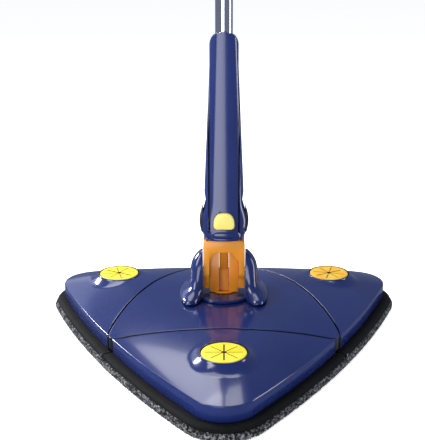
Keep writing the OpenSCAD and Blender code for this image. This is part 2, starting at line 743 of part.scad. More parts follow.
module anchor_screw() {
  color(steel) translate([0, anchor_y + strap_t, anchor_z + anchor_h / 2]) rotate([90, 0, 0]) {
    translate([0, 0, -0.7]) cylinder(r = 2.2, h = 0.65);
    translate([0, 0, -0.1]) cylinder(r = 1.1, h = 4);
  }
}

module fall_strap() {
  color(orange) difference() {
    translate([-strap_w / 2, anchor_y, anchor_z]) cube([strap_w, strap_t - 0.1, roller_z - anchor_z - 1]);
    translate([0, anchor_y, anchor_z + anchor_h / 2]) rotate([90, 0, 0]) cylinder(r = 1.25, h = 20, center = true);
  }
}

button_face_y = -sleeve_d(button_z) - cover_raise - 1.2;
button_back_y = -sleeve_d(button_z) + cover_t + 1.3;
flange_t = 0.8;

module button() {
  color(yellow) translate([0, 0, button_z]) rotate([90, 0, 0]) {
    translate([0, 0, -button_back_y]) linear_extrude(button_back_y - button_face_y) button_shape();
    translate([0, 0, -button_back_y - flange_t]) linear_extrude(flange_t + eps) button_shape(1.2);
  }
}

// ---------- pole ----------

lower_tube_top_z = coupling_z - 1;
grip_z = coupling_z + coupling_l + upper_tube_l;
grip_top_z = grip_z + grip_l;

module lower_tube() {
  color(steel) difference() {
    translate([0, 0, socket_z + small_gap]) cylinder(r = tube_r, h = lower_tube_top_z - socket_z - small_gap);
    translate([0, 0, socket_z - 1]) cylinder(r = tube_r - tube_t, h = 400);
    translate([0, 0, socket_z + 16]) rotate([0, 90, 0]) cylinder(r = 1.5 + snug_fit, h = 40, center = true);
  }
}

// threaded end of the lower tube
module tip_plug() {
  thread_r = 5.6;
  pitch = 2;
  plug_top_z = coupling_z + 22;
  color(steel) rotate_extrude() polygon(concat(
    [[0, lower_tube_top_z - 12], [tube_r - tube_t - snug_fit, lower_tube_top_z - 12],
      [tube_r - tube_t - snug_fit, lower_tube_top_z], [tube_r, lower_tube_top_z], [tube_r, lower_tube_top_z + 1.5],
      [thread_r - 0.8, lower_tube_top_z + 1.5]],
    [for (z = [lower_tube_top_z + 3 : pitch : plug_top_z - pitch]) each
      [[thread_r - 0.8, z], [thread_r, z + pitch / 2]]],
    [[thread_r - 0.8, plug_top_z], [0, plug_top_z]]
  ));
}

module coupling_nut() {
  color(steel) translate([0, 0, coupling_z + 1]) difference() {
    cylinder(r = tube_r + 1, h = 20);
    translate([0, 0, -1]) cylinder(r = 5.7, h = 30);
  }
}

module coupling() {
  color(navy) rotate_extrude() polygon([
    [tube_r + 1.1, coupling_z], [coupling_r - 0.6, coupling_z], [coupling_r, coupling_z + 0.8],
    [coupling_r, coupling_z + 26], [coupling_r - 0.9, coupling_z + 34], [coupling_r - 0.9, coupling_z + coupling_l - 1],
    [coupling_r - 1.5, coupling_z + coupling_l], [tube_r + snug_fit, coupling_z + coupling_l],
    [tube_r + snug_fit, coupling_z + 24], [tube_r + 1.1, coupling_z + 24]
  ]);
}

module upper_tube() {
  z0 = coupling_z + 26;
  color(steel) translate([0, 0, z0]) difference() {
    cylinder(r = tube_r, h = grip_z + 60 - z0);
    translate([0, 0, -1]) cylinder(r = tube_r - tube_t, h = 600);
  }
}

flat_half = 8;
hang_z = grip_top_z - 14;

// grip that flares upwards, flattened at its end round the hang hole
module grip() {
  color(navy) difference() {
    rotate_extrude() polygon([
      [tube_r + snug_fit, grip_z], [grip_neck_r - 0.6, grip_z], [grip_neck_r, grip_z + 1],
      [grip_neck_r + 0.2, grip_z + 24], [grip_r - 1.2, grip_z + 48], [grip_r, grip_z + 70],
      [grip_r, grip_top_z - 6], [grip_r - 1.8, grip_top_z - 1.5], [grip_r - 4, grip_top_z - small_gap],
      [6, grip_top_z - small_gap], [6, grip_top_z - 3], [0, grip_top_z - 3], [0, grip_z + 61],
      [tube_r + snug_fit, grip_z + 61]
    ]);
    for (s = [-1, 1]) translate([-20, s * (flat_half + 10) - 10, hang_z - 12]) cube([40, 20, 40]);
    translate([0, 0, hang_z]) rotate([90, 0, 0]) cylinder(r = hang_hole_r, h = 40, center = true);
  }
}

module grip_cap() {
  color(black) translate([0, 0, grip_top_z - 2.9]) cylinder(r = 5.9, h = 2.9);
}

// ---------- every node ----------

centre_plate();
centre_hooks();
centre_pad();
flap();  // front_flap
at_side(2) flap();  // left_flap
at_side(1) flap();  // right_flap
flap_base();  // front_flap_base
at_side(2) flap_base();  // left_flap_base
at_side(1) flap_base();  // right_flap_base
flap_hooks();  // front_hooks
at_side(2) flap_hooks();  // left_hooks
at_side(1) flap_hooks();  // right_hooks
flap_pad();  // front_pad
at_side(2) flap_pad();  // left_pad
at_side(1) flap_pad();  // right_pad
clip(yellow);  // front_clip
at_side(2) clip(yellow);  // left_clip
at_side(1) clip(orange);  // right_clip
clip_ring();  // front_clip_ring
at_side(2) clip_ring();  // left_clip_ring
at_side(1) clip_ring();  // right_clip_ring
hinge_pins();  // front_hinge_pins
at_side(2) hinge_pins();  // left_hinge_pins
at_side(1) hinge_pins();  // right_hinge_pins
lift_spider();
strap_swivel();
lower_strap();
turret();
turret_retainer();
retainer_screws();
oval_grommet();
strap_guide();
tilt_pins();
yoke();
strap_roller();
roller_pin();
cross_pin();
upper_strap();
lower_tube();
tip_plug();
rear_cover();
front_cover();
top_bush();
strap_anchor();
anchor_screw();
fall_strap();
button();
coupling();
coupling_nut();
upper_tube();
grip();
grip_cap();
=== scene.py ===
import json
import math
import random

import bmesh
import bpy
from mathutils import Matrix, Vector, noise
from mathutils.geometry import delaunay_2d_cdt


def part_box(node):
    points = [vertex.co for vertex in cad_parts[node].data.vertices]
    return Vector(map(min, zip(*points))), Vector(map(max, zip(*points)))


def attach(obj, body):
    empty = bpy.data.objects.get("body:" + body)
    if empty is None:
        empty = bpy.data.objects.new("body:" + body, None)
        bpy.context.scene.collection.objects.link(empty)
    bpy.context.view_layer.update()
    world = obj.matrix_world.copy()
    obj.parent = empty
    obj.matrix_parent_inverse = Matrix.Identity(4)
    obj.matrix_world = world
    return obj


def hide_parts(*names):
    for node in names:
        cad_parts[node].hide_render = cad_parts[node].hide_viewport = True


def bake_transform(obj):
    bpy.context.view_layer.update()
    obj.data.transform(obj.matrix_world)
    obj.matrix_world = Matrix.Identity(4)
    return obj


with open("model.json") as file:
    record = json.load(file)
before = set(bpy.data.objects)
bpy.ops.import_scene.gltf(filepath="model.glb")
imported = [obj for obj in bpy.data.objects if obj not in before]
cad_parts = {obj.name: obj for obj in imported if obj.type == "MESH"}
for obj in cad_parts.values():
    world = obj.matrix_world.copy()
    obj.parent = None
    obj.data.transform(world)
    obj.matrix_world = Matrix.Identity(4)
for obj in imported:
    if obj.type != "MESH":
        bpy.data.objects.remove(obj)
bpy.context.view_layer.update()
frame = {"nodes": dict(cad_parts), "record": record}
nodes = frame["nodes"]
random.seed(7)
MM = 0.001

# ---------- sizes, in millimetres, as in the CAD model ----------
# head outline: the corner centres' reach, the pad's corner radius, the sides' bow, the pad's visible border
HEAD_REACH, PAD_R, BULGE, BORDER = 151.0, 39.0, 10.0, 9.5
# shell: lower edge, rim, the dome's rise and fall-off, wall, rounding at the seams and at the rim
SHELL_Z, RIM_Z, DOME_H, POWER = 12.0, 26.0, 17.0, 3.3
WALL, SEAM_ROUND, RIM_ROUND = 2.4, 0.32, 0.9
CROWN_Z = RIM_Z + DOME_H
SHELL_R = PAD_R - BORDER
# seam between the centre plate and a flap: its ends' reach, its bow, its width
SEAM_END, SEAM_BOW, SEAM_GAP = 62.5, 12.5, 2.0
# flap hinge: reach, height, the knuckles' radius, half width and place on the hinge line, the lugs' width
HINGE, HINGE_Z, KNUCKLE_R = 60.0, 15.5, 3.8
KNUCKLE_HALF, KNUCKLE_X, LUG_W = 9.0, 45.0, 4.5
# flap lever: its slope in degrees, half thickness, length
LEVER_TILT, LEVER_HALF, LEVER_L = 5.0, 2.0, 19.0
# cloth clip: reach, top, thickness; the boss round it: foot, crown and bore radius
CLIP_REACH, CLIP_Z, CLIP_T = 119.5, 41.5, 1.8
BOSS_R, BOSS_CROWN_R, BOSS_BORE_R = 30.5, 20.6, 19.7
# centre plate: bore for the turret, half width of a tip, reach where the tip's deeper wall starts
HUB_R, TIP_HALF, TIP_FROM = 19.9, 3.0, 96.0
# pad: the fold of its corners, the height of its top sheet
PAD_FOLD, PAD_TOP = HINGE - 5.0, 10.3
# handle: the tilt axis, the yoke's inner width
TILT_Z, YOKE_IN = 68.0, 26.6
# sleeve: lower end, length, the button's centre
SLEEVE_Z, SLEEVE_L, BUTTON_Z = 95.0, 180.0, 119.6
THIRDS = (0, 120, 240)
SIDE = {-1: "l", 1: "r"}
FLAPS = {"front": 0.0, "right": 120.0, "left": 240.0}

CHORD = HEAD_REACH * math.sqrt(3)
SIDE_R = (CHORD * CHORD / 4 + BULGE * BULGE) / (2 * BULGE)
SIDE_BACK = SIDE_R - BULGE - HEAD_REACH / 2
SIDE_HALF = math.degrees(math.asin(CHORD / 2 / SIDE_R))


def ray(d, c, r):
    dc = d[0] * c[0] + d[1] * c[1]
    return dc + math.sqrt(max(0.0, dc * dc - c[0] ** 2 - c[1] ** 2 + r * r))


def corner_angle(x, y):
    a = (math.degrees(math.atan2(y, x)) + 90 + 720) % 120
    return 120 - a if a > 60 else a


def reach(a, r=SHELL_R):
    """Distance from the axis to an outline with corner radius r, at angle a from the nearest corner."""
    b = math.radians(330 - SIDE_HALF)
    jx, jy = r * math.cos(b), -HEAD_REACH + r * math.sin(b)
    d = (math.sin(math.radians(a)), -math.cos(math.radians(a)))
    if a < math.degrees(math.atan2(jx, -jy)):
        return ray(d, (0, -HEAD_REACH), r)
    c = (-SIDE_BACK * math.cos(math.radians(330)), -SIDE_BACK * math.sin(math.radians(330)))
    return ray(d, c, SIDE_R + r)


def dome(x, y):
    t = min(1.0, math.hypot(x, y) / reach(corner_angle(x, y)))
    return RIM_Z + DOME_H * (1 - t ** POWER)


SIDE_MID = reach(60)
SEAM_HALF = (SIDE_MID - SEAM_END / 2) / math.cos(math.radians(30))


def seam(x):
    return SEAM_END + SEAM_BOW * (1 - (x / SEAM_HALF) ** 2)


def spin(p, a):
    c, s = math.cos(math.radians(a)), math.sin(math.radians(a))
    return (p[0] * c - p[1] * s, p[0] * s + p[1] * c) + tuple(p[2:])


def polar(a, r):
    return (r * math.cos(math.radians(a)), r * math.sin(math.radians(a)))


def arc(r, start, stop, step, x=0.0, y=0.0):
    """Points of an arc about (x, y), at whole degrees from start up to stop."""
    return [(x + p[0], y + p[1]) for p in (polar(t, r) for t in range(start, stop, step))]


def circle(r, n, x=0.0, y=0.0):
    """The n points of a circle about (x, y)."""
    return [(x + r * math.cos(math.tau * k / n), y + r * math.sin(math.tau * k / n)) for k in range(n)]


def lathe(profile, n, y=0.0):
    """Level circles for a list of (radius, z), about the upright axis through (0, y)."""
    return [[p + (z,) for p in circle(r, n, 0.0, y)] for r, z in profile]


def third_outline(r, n_side=24, n_corner=40):
    """Outline points from the left side's middle round the front corner to the right side's middle."""
    pts = []
    for i in range(n_side + 1):
        q, p = polar(210, -SIDE_BACK), polar(210 + SIDE_HALF * i / n_side, SIDE_R + r)
        pts.append((q[0] + p[0], q[1] + p[1]))
    for i in range(1, n_corner):
        p = polar(210 + SIDE_HALF + (120 - 2 * SIDE_HALF) * i / n_corner, r)
        pts.append((p[0], p[1] - HEAD_REACH))
    for i in range(n_side, -1, -1):
        q, p = polar(330, -SIDE_BACK), polar(330 - SIDE_HALF * i / n_side, SIDE_R + r)
        pts.append((q[0] + p[0], q[1] + p[1]))
    return pts


def resample(pts, n, closed=False):
    pts = list(pts) + ([pts[0]] if closed else [])
    run = [0.0]
    for a, b in zip(pts, pts[1:]):
        run.append(run[-1] + math.dist(a, b))
    out, k = [], 0
    count = n if closed else n - 1
    for i in range(n):
        t = run[-1] * i / count
        while k < len(run) - 2 and run[k + 1] < t:
            k += 1
        f = (t - run[k]) / max(1e-9, run[k + 1] - run[k])
        out.append(tuple(u + (v - u) * f for u, v in zip(pts[k], pts[k + 1])))
    return out


# ---------- materials ----------
def srgb(r, g, b):
    """Linear colour from display values of 0 to 255."""
    def linear(c):
        return c / 255 / 12.92 if c <= 10 else ((c / 255 + 0.055) / 1.055) ** 2.4
    return (linear(r), linear(g), linear(b), 1.0)


def material(name, dark, light, rough=(0.3, 0.4), metal=0.0, scale=60.0, bump=0.02, detail=6.0, coat=0.0,
             sheen=0.0, stretch=(1, 1, 1), bump_scale=None, spread=(0.35, 0.65), specular=0.5):
    """Principled surface whose colour, roughness and bump follow two noises in the piece's own space."""
    m = bpy.data.materials.new(name)
    m.use_nodes = True
    nt = m.node_tree
    nt.nodes.clear()
    out = nt.nodes.new("ShaderNodeOutputMaterial")
    b = nt.nodes.new("ShaderNodeBsdfPrincipled")
    nt.links.new(b.outputs["BSDF"], out.inputs["Surface"])
    tc = nt.nodes.new("ShaderNodeTexCoord")
    mp = nt.nodes.new("ShaderNodeMapping")
    mp.inputs["Scale"].default_value = stretch
    nt.links.new(tc.outputs["Object"], mp.inputs["Vector"])
    nz = nt.nodes.new("ShaderNodeTexNoise")
    nz.inputs["Scale"].default_value = scale
    nz.inputs["Detail"].default_value = detail
    nt.links.new(mp.outputs["Vector"], nz.inputs["Vector"])
    cr = nt.nodes.new("ShaderNodeValToRGB")
    cr.color_ramp.elements[0].position, cr.color_ramp.elements[1].position = spread
    cr.color_ramp.elements[0].color, cr.color_ramp.elements[1].color = dark, light
    nt.links.new(nz.outputs["Fac"], cr.inputs["Fac"])
    nt.links.new(cr.outputs["Color"], b.inputs["Base Color"])
    mr = nt.nodes.new("ShaderNodeMapRange")
    mr.inputs["To Min"].default_value, mr.inputs["To Max"].default_value = rough
    nt.links.new(nz.outputs["Fac"], mr.inputs["Value"])
    nt.links.new(mr.outputs["Result"], b.inputs["Roughness"])
    fine = nt.nodes.new("ShaderNodeTexNoise")
    fine.inputs["Scale"].default_value = bump_scale or scale * 6
    fine.inputs["Detail"].default_value = 4
    nt.links.new(mp.outputs["Vector"], fine.inputs["Vector"])
    bp = nt.nodes.new("ShaderNodeBump")
    bp.inputs["Strength"].default_value = bump
    bp.inputs["Distance"].default_value = 0.0005
    nt.links.new(fine.outputs["Fac"], bp.inputs["Height"])
    nt.links.new(bp.outputs["Normal"], b.inputs["Normal"])
    b.inputs["Metallic"].default_value = metal
    b.inputs["Coat Weight"].default_value = coat
    b.inputs["Coat Roughness"].default_value = 0.08
    b.inputs["Sheen Weight"].default_value = sheen
    b.inputs["Specular IOR Level"].default_value = specular
    return m


NAVY = material("navy_gloss", srgb(24, 38, 92), srgb(29, 44, 101), (0.16, 0.22), scale=14, bump=0.04,
                bump_scale=900, coat=0.5)
# painted shade: a darker copy of the navy plastic, for seam walls, recesses and the parts that lie in shade
# below the shells and inside the sleeve
NAVY_PAINTED_SHADE = material("navy_painted_shade", srgb(7, 9, 22), srgb(12, 15, 34), (0.4, 0.5), scale=30, bump=0.1)
# painted shade: a darker copy of the clip's rubber colour for the walls of the slits, and a near-black one for
# the deep slits and the hole
SLIT_PAINTED_SHADE = material("slit_wall_painted_shade", srgb(96, 74, 20), srgb(120, 92, 26), (0.6, 0.7), scale=120, bump=0.1)
SLIT_DEEP_PAINTED_SHADE = material("slit_deep_painted_shade", srgb(14, 12, 10), srgb(24, 20, 14), (0.6, 0.7), scale=120, bump=0.1)
YELLOW = material("yellow_rubber", srgb(238, 216, 40), srgb(244, 228, 64), (0.38, 0.5), scale=90, bump=0.1)
AMBER = material("amber_rubber", srgb(240, 182, 44), srgb(248, 200, 62), (0.38, 0.5), scale=90, bump=0.1)
BUTTON = material("button_yellow", srgb(236, 220, 104), srgb(244, 230, 128), (0.25, 0.35), scale=60,
                  bump=0.05, coat=0.3)
ORANGE = material("orange_gloss", srgb(226, 138, 26), srgb(238, 156, 42), (0.25, 0.36), scale=25, bump=0.06,
                  bump_scale=700, coat=0.25)
STRAP = material("orange_strap", srgb(214, 128, 30), srgb(232, 150, 48), (0.42, 0.55), scale=240, bump=0.35,
                 stretch=(1, 1, 0.25), bump_scale=1600)
CHROME = material("chrome", (0.80, 0.80, 0.82, 1), (0.86, 0.86, 0.88, 1), (0.05, 0.09), metal=1.0, scale=30,
                  bump=0.01, stretch=(1, 1, 0.06))
STEEL = material("steel", (0.45, 0.45, 0.47, 1), (0.6, 0.6, 0.62, 1), (0.25, 0.4), metal=1.0, scale=200,
                 bump=0.05)
BLACK = material("black_plastic", srgb(20, 20, 23), srgb(32, 32, 36), (0.45, 0.6), scale=120, bump=0.15)
HOOKS = material("hook_tape", srgb(12, 12, 14), srgb(48, 48, 54), (0.8, 0.95), scale=900, bump=0.9,
                 bump_scale=1500)
BINDING = material("black_binding", srgb(5, 5, 6), srgb(20, 20, 23), (0.75, 0.9), scale=700, bump=0.7,
                   stretch=(1, 1, 1.6), bump_scale=1800, specular=0.2)
PLUSH = material("grey_plush", srgb(8, 8, 10), srgb(150, 150, 154), (0.85, 1.0), scale=520, bump=1.0,
                 detail=3, bump_scale=900, sheen=0.1, spread=(0.46, 0.66))
CHENILLE = material("chenille", srgb(92, 104, 128), srgb(150, 160, 184), (0.85, 1.0), scale=300, bump=0.9,
                    detail=3, bump_scale=1200, sheen=0.4)
# finish of each material slot of the CAD model
FINISH = {"chrome_steel": CHROME, "steel": STEEL, "black_plastic": BLACK, "strap_webbing": STRAP,
          "orange_plastic": ORANGE, "navy_plastic": NAVY}


# ---------- mesh helpers ----------
def add(name, verts, faces, mat, sharp=35.0):
    """A mesh object from points in millimetres, smooth but for edges over the sharp angle."""
    me = bpy.data.meshes.new(name)
    me.from_pydata([[c * MM for c in v] for v in verts], [], faces)
    me.validate()
    bm = bmesh.new()
    bm.from_mesh(me)
    bmesh.ops.remove_doubles(bm, verts=bm.verts, dist=1e-7)
    bmesh.ops.recalc_face_normals(bm, faces=bm.faces)
    bm.to_mesh(me)
    bm.free()
    o = bpy.data.objects.new(name, me)
    bpy.context.scene.collection.objects.link(o)
    me.materials.append(mat)
    shade(o, sharp)
    return o


def shade(o, sharp=35.0):
    for p in o.data.polygons:
        p.use_smooth = True
    o.data.set_sharp_from_angle(angle=math.radians(sharp))


def baked(o):
    """Applies an object's modifiers."""
    dg = bpy.context.evaluated_depsgraph_get()
    me = bpy.data.meshes.new_from_object(o.evaluated_get(dg))
    o.modifiers.clear()
    old = o.data
    o.data = me
    bpy.data.meshes.remove(old)
    return o


def rings(rows, closed_row=True, closed_col=False, caps=True):
    """Faces that join equal rows of points."""
    verts = [v for row in rows for v in row]
    n, m = len(rows[0]), len(rows)
    faces = []
    for i in range(m if closed_col else m - 1):
        for j in range(n if closed_row else n - 1):
            a, b = i * n + j, i * n + (j + 1) % n
            c, d = ((i + 1) % m) * n + (j + 1) % n, ((i + 1) % m) * n + j
            faces.append((a, b, c, d))
    if caps and not closed_col:
        faces.append(tuple(range(n))[::-1])
        faces.append(tuple((m - 1) * n + j for j in range(n)))
    return verts, faces


def bevel(o, width, segments=2, angle=32):
    """Rounds the edges over an angle, with a width in millimetres."""
    md = o.modifiers.new("edge", "BEVEL")
    md.width = width * MM
    md.segments = segments
    md.limit_method = "ANGLE"
    md.angle_limit = math.radians(angle)
    md.use_clamp_overlap = True
    baked(o)
    shade(o, 40)
    return o


def paint(o, mat, where):
    """Gives another material to the faces whose centre, in millimetres, and normal pass a test."""
    o.data.materials.append(mat)
    k = len(o.data.materials) - 1
    for f in o.data.polygons:
        if where(*(c / MM for c in f.center), f.normal):
            f.material_index = k


def cut(o, tool, mode="DIFFERENCE"):
    """Boolean of an object with a tool, which is used up; cut faces take the tool's material."""
    md = o.modifiers.new("cut", "BOOLEAN")
    md.operation = mode
    md.material_mode = "TRANSFER"
    md.solver = "EXACT"
    md.object = tool
    baked(o)
    bpy.data.objects.remove(tool, do_unlink=True)
    return o


def prism(name, poly, z0, z1, mat=None, axis="Z"):
    """Extrudes a plan outline from z0 to z1. Axis Y takes (x, z) points and axis X takes (y, z) points."""
    if axis == "Z":
        rows = [[(x, y, z) for x, y in poly] for z in (z0, z1)]
    elif axis == "Y":
        rows = [[(x, y, z) for x, z in poly] for y in (z0, z1)]
    else:
        rows = [[(x, y, z) for y, z in poly] for x in (z0, z1)]
    v, f = rings(rows)
    return add(name, v, f, mat or NAVY)


def box_poly(x0, x1, y0, y1):
    return [(x0, y0), (x1, y0), (x1, y1), (x0, y1)]


def from_node(name, node, mat, width=0.4, segments=2):
    """A copy of a CAD node's mesh with its edges rounded."""
    src = nodes[node]
    me = src.data.copy()
    me.transform(src.matrix_world)
    bm = bmesh.new()
    bm.from_mesh(me)
    bmesh.ops.remove_doubles(bm, verts=bm.verts, dist=2e-6)
    bmesh.ops.dissolve_limit(bm, angle_limit=math.radians(1.0), verts=bm.verts, edges=bm.edges)
    bm.to_mesh(me)
    bm.free()
    me.materials.clear()
    me.materials.append(mat)
    o = bpy.data.objects.new(name, me)
    bpy.context.scene.collection.objects.link(o)
    bevel(o, width, segments)
    return o


def turn(o, a):
    """Turns a mesh about the turret's axis."""
    o.data.transform(Matrix.Rotation(math.radians(a), 4, "Z"))
    return o


# ---------- camera, light and background ----------
CAMERA_DOWN = 17.6        # degrees below level
CAMERA_LENS = 76.1973
CAMERA_SENSOR = 36.0
CAMERA_SHIFT = -0.026136
cam_data = bpy.data.cameras.new("camera")
cam = bpy.data.objects.new("camera", cam_data)
bpy.context.scene.collection.objects.link(cam)
cam.location = (0, -0.8007, 0.3690)
cam.rotation_euler = (math.radians(90 - CAMERA_DOWN), 0, 0)
cam_data.lens = CAMERA_LENS
cam_data.sensor_width = CAMERA_SENSOR
cam_data.shift_x = CAMERA_SHIFT
bpy.context.scene.camera = cam

# the camera sees a white world, and the object is lit by a dim bluish one

world = bpy.data.worlds.new("world")
bpy.context.scene.world = world
world.use_nodes = True
wn = world.node_tree
wn.nodes.clear()
wo = wn.nodes.new("ShaderNodeOutputWorld")
mixer = wn.nodes.new("ShaderNodeMixShader")
path = wn.nodes.new("ShaderNodeLightPath")
seen = wn.nodes.new("ShaderNodeBackground")
lit = wn.nodes.new("ShaderNodeBackground")
seen.inputs["Color"].default_value = (1, 1, 1, 1)
seen.inputs["Strength"].default_value = 1.0
lit.inputs["Color"].default_value = (0.66, 0.74, 1.0, 1)
lit.inputs["Strength"].default_value = 0.24
wn.links.new(path.outputs["Is Camera Ray"], mixer.inputs["Fac"])
wn.links.new(lit.outputs["Background"], mixer.inputs[1])
wn.links.new(seen.outputs["Background"], mixer.inputs[2])
wn.links.new(mixer.outputs["Shader"], wo.inputs["Surface"])
bpy.context.scene.view_settings.view_transform = "Standard"


def area(name, loc, target, size, power, color=(1, 1, 1)):
    """Rectangular area light at loc that faces target, in metres and watts."""
    d = bpy.data.lights.new(name, "AREA")
    d.shape = "RECTANGLE"
    d.size, d.size_y = size
    d.energy = power
    d.color = color
    o = bpy.data.objects.new(name, d)
    bpy.context.scene.collection.objects.link(o)
    o.location = loc
    o.rotation_mode = "QUATERNION"
    o.rotation_quaternion = (Vector(target) - Vector(loc)).to_track_quat("-Z", "Y")
    return o


area("key_left", (-0.9, -0.5, 0.75), (0, 0, 0.05), (0.5, 0.9), 9.5)
area("top", (-0.1, 0.25, 1.3), (0, 0, 0.05), (1.1, 0.7), 8)
area("rim_left", (-0.98, 0.62, 0.5), (-0.05, -0.03, 0.03), (0.3, 0.25), 13)
area("panel_back", (-0.42, 0.88, 1.3), (-0.42, 0.0, 0.1), (0.95, 0.7), 8, (0.95, 0.94, 1.0))
area("low_left", (-1.0, 1.2, 0.5), (0, 0, 0.05), (1.3, 0.5), 1.6, (0.85, 0.9, 1.0))
area("front_left", (-0.46, -1.6, 0.0), (-0.1, 0, 0.16), (1.0, 0.9), 11, (0.96, 0.96, 1.0))
area("right_strip", (1.1, 0.0, 0.12), (0, 0, 0.15), (0.26, 0.9), 4)

floor_mat = material("floor_white", srgb(250, 250, 250), srgb(254, 254, 254), (0.7, 0.8), scale=8)
floor_bsdf = floor_mat.node_tree.nodes["Principled BSDF"]
floor_bsdf.inputs["Emission Color"].default_value = (1, 1, 1, 1)
floor_bsdf.inputs["Emission Strength"].default_value = 0.8

FLOOR_HALF = 40000.0
ground = add("studio_floor", [(-FLOOR_HALF, -FLOOR_HALF, 0), (FLOOR_HALF, -FLOOR_HALF, 0),
                              (FLOOR_HALF, FLOOR_HALF, 0), (-FLOOR_HALF, FLOOR_HALF, 0)],
             [(0, 1, 2, 3)], floor_mat)
# just below the pad, so that the two faces don't flicker
ground.location.z = -0.0003
ground.visible_glossy = False


# ---------- flaps ----------
def flap_edges(n):
    """Matching points along the front flap's seam and along its rim, n of each."""
    short_seam, short_rim, fine = 5.5, 4.4, 2000
    xe = SEAM_HALF - short_seam
    seam_pts = [(x, -seam(x) - SEAM_GAP / 2) for x in [-xe + 2 * xe * i / (n - 1) for i in range(n)]]
    rim = resample(third_outline(SHELL_R, 40, 60), fine + 1)
    skip = short_rim / sum(math.dist(p, q) for p, q in zip(rim, rim[1:]))
    rim_pts = []
    for i in range(n):
        k = (skip + (1 - 2 * skip) * i / (n - 1)) * fine
        j = min(fine - 1, int(k))
        (x0, y0), (x1, y1) = rim[j], rim[j + 1]
        rim_pts.append((x0 + (x1 - x0) * (k - j), y0 + (y1 - y0) * (k - j)))
    return seam_pts, rim_pts


def flap_section(s, o):
    """Section of a flap's shell, from its seam point s over the dome to its rim point o and back below."""
    ln = math.hypot(o[0] - s[0], o[1] - s[1])
    ux, uy = (o[0] - s[0]) / ln, (o[1] - s[1]) / ln

    def at(d):
        return s[0] + ux * d, s[1] + uy * d

    row = [(*s, SHELL_Z + 0.5), (*s, dome(*s) - 0.4)]
    for q in (30, 60):
        x, y = at(SEAM_ROUND * (1 - math.cos(math.radians(q))))
        row.append((x, y, dome(x, y) - SEAM_ROUND * (1 - math.sin(math.radians(q)))))
    across = 44
    for i in range(across + 1):
        x, y = at(RIM_ROUND + (ln - 2 * RIM_ROUND) * (1 - (1 - i / across) ** 1.35))
        row.append((x, y, dome(x, y)))
    zo = dome(*at(ln - RIM_ROUND))
    for q in (25, 50, 75, 90):
        x, y = at(ln - RIM_ROUND + RIM_ROUND * math.sin(math.radians(q)))
        row.append((x, y, zo - RIM_ROUND * (1 - math.cos(math.radians(q)))))
    row += [(*o, SHELL_Z + 0.6), (*at(ln - 0.5), SHELL_Z)]
    row += [(*at(ln - WALL), SHELL_Z), (*at(ln - WALL), RIM_Z - 2.6)]
    for i in range(5, -1, -1):
        x, y = at(WALL + (ln - 5.5) * i / 6)
        row.append((x, y, dome(x, y) - WALL))
    row.append((*at(WALL), SHELL_Z + 0.5))
    return row


def boss_rows():
    """Sections of the raised ring round a clip, which flares up from the dome and turns down its bore."""
    flare = [(BOSS_R + (BOSS_CROWN_R - BOSS_R) * i / 12, 0.97 * (i / 12) ** 2.1) for i in range(13)]
    crown_z = CLIP_Z - RIM_ROUND
    rows = []
    for c, s in circle(1.0, 144):
        row = []
        for r, lift in flare:
            x, y = r * c, -CLIP_REACH + r * s
            row.append((x, y, dome(x, y) * (1 - lift) + (crown_z + 0.06) * lift))
        for q in (30, 60, 90):
            r = BOSS_CROWN_R - RIM_ROUND * (1 - math.cos(math.radians(q)))
            row.append((r * c, -CLIP_REACH + r * s, crown_z + 0.95 * math.sin(math.radians(q))))
        for r, z in ((BOSS_BORE_R, CLIP_Z - 0.1), (BOSS_BORE_R - 0.2, CLIP_Z - 3.5)):
            row.append((r * c, -CLIP_REACH + r * s, z))
        rows.append(row)
    return rows


def flap_fittings(name):
    """Knuckles, lever and lever pin below a flap."""
    made = []
    out = -(seam(KNUCKLE_X) + SEAM_GAP + 1)
    # the knuckles, the lever and its pin take the navy of painted shade, as they lie in shade below the shell
    for s in (-1, 1):
        poly = [(-(HINGE + x), HINGE_Z + z) for x, z in arc(KNUCKLE_R, 60, 301, 12)]
        poly += [(out, HINGE_Z - 2.5), (out, HINGE_Z + 2.5)]
        x = s * KNUCKLE_X
        knuckle = prism(f"{name}_knuckle_{SIDE[s]}", poly, x - KNUCKLE_HALF, x + KNUCKLE_HALF, NAVY_PAINTED_SHADE, "X")
        made.append(bevel(knuckle, 0.4))
    along, rise = math.cos(math.radians(LEVER_TILT)), math.sin(math.radians(LEVER_TILT))

    def on_lever(d, h):
        return (-(HINGE - d * along + h * rise), HINGE_Z + d * rise + h * along)

    root = -(seam(0) + 1.5)
    poly = [(root, HINGE_Z - LEVER_HALF), (-(HINGE - 2), HINGE_Z - LEVER_HALF), on_lever(LEVER_L, -LEVER_HALF),
            on_lever(LEVER_L, LEVER_HALF), on_lever(0, LEVER_HALF), (root, HINGE_Z + LEVER_HALF)]
    made.append(bevel(prism(f"{name}_lever", poly, -4, 4, NAVY_PAINTED_SHADE, "X"), 0.5))
    pin = prism(f"{name}_lever_pin", circle(1.6, 24, *on_lever(LEVER_L - 1, 0)), -8, 8, NAVY_PAINTED_SHADE, "X")
    made.append(bevel(pin, 0.3))
    return made


